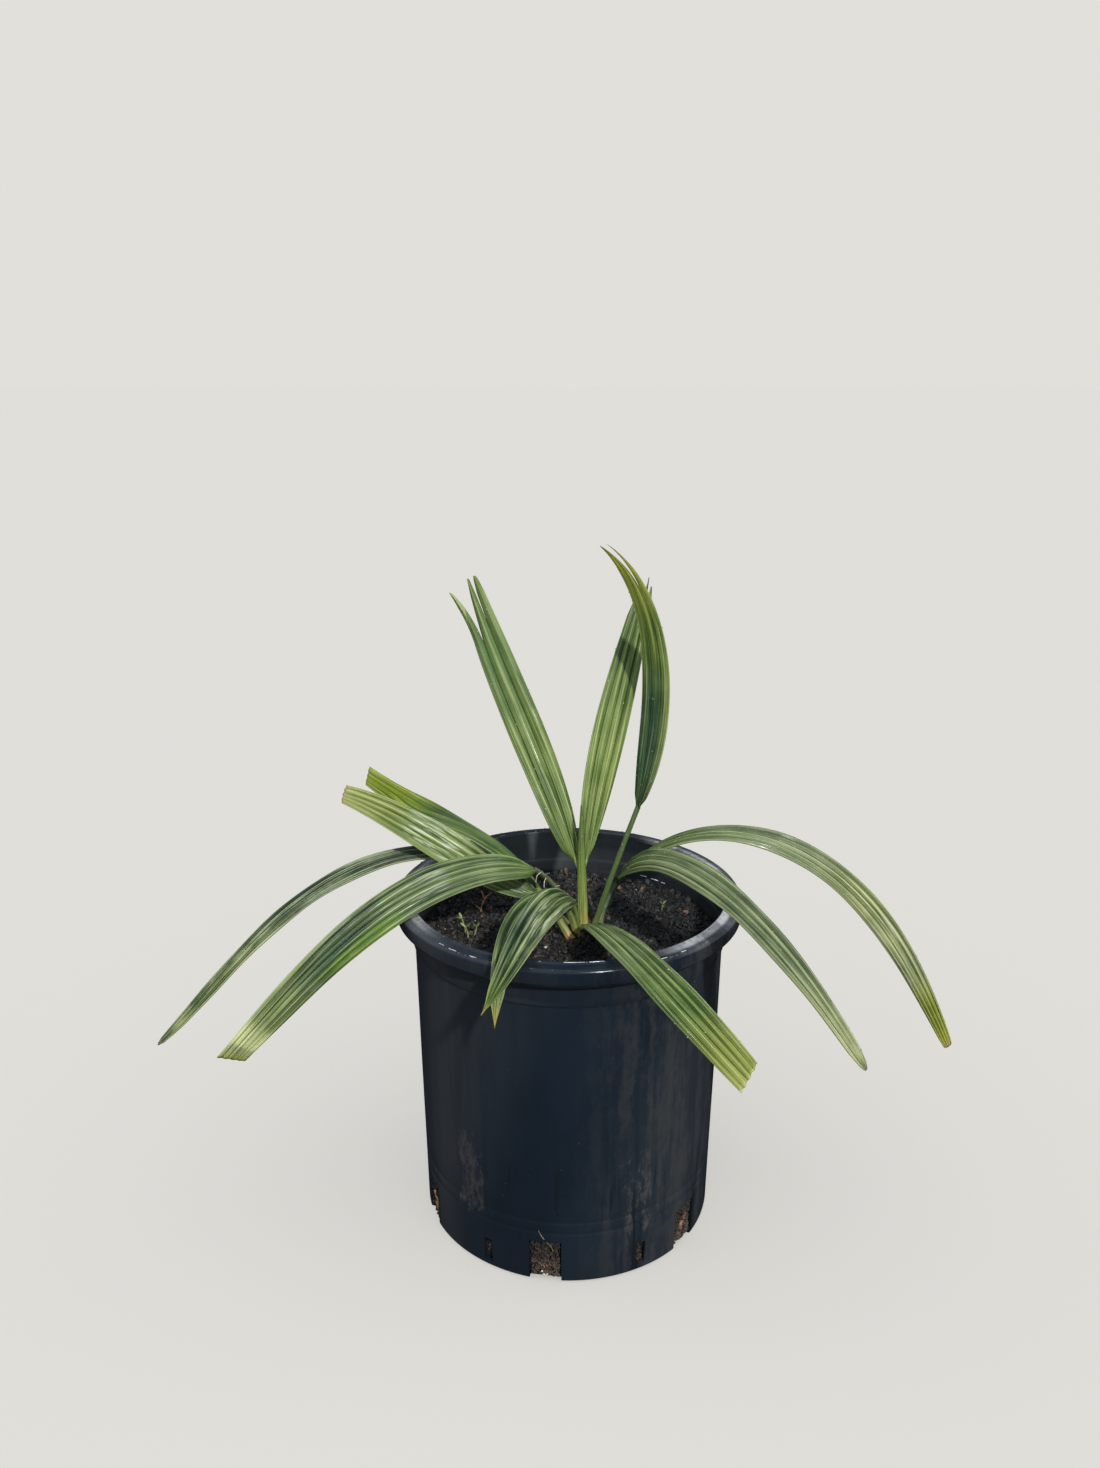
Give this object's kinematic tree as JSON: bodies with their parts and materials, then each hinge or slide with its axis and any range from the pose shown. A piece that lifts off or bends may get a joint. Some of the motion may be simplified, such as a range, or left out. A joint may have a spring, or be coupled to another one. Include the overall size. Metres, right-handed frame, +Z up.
{
  "type": "potted dwarf palmetto",
  "caption": "Young dwarf palmetto palm with pleated strap-like fronds arching out of a round black nursery pot of potting mix.",
  "frame": {"origin": "centre of the pot's flat underside", "axes": "+Z up; -Y towards the viewer of the picture, +X to the viewer's right"},
  "size_m": [0.3926, 0.2432, 0.3319],
  "materials": {
    "pot": "satin to glossy moulded plastic, scuffed and dusty",
    "soil": "moist dark potting mix with bark bits",
    "leaf": "waxy pleated leaf, green with pale ribs",
    "stalk": "smooth yellow-green stalk"
  },
  "bodies": {
    "root": {"pot": "pot", "soil": "soil", "stalk_centre": "stalk", "stalk_tall": "stalk", "stalk_right": "stalk", "stalk_left_back": "stalk", "stalk_low_left": "stalk", "stalk_far_left": "stalk", "stalk_small": "stalk", "stalk_front_right": "stalk", "frond_centre_left": "leaf", "frond_centre_right": "leaf", "frond_tall_inner": "leaf", "frond_tall_outer": "leaf", "frond_left_back": "leaf", "frond_left_front": "leaf", "frond_far_left_inner": "leaf", "frond_far_left_outer": "leaf", "frond_low_left_inner": "leaf", "frond_low_left_outer": "leaf", "frond_small_front_inner": "leaf", "frond_small_front_outer": "leaf", "frond_small_back_inner": "leaf", "frond_small_back_outer": "leaf", "frond_front_right_inner": "leaf", "frond_front_right_outer": "leaf", "frond_right_inner": "leaf", "frond_right_outer": "leaf", "frond_far_right_inner": "leaf", "frond_far_right_outer": "leaf"}
  },
  "joints": []
}
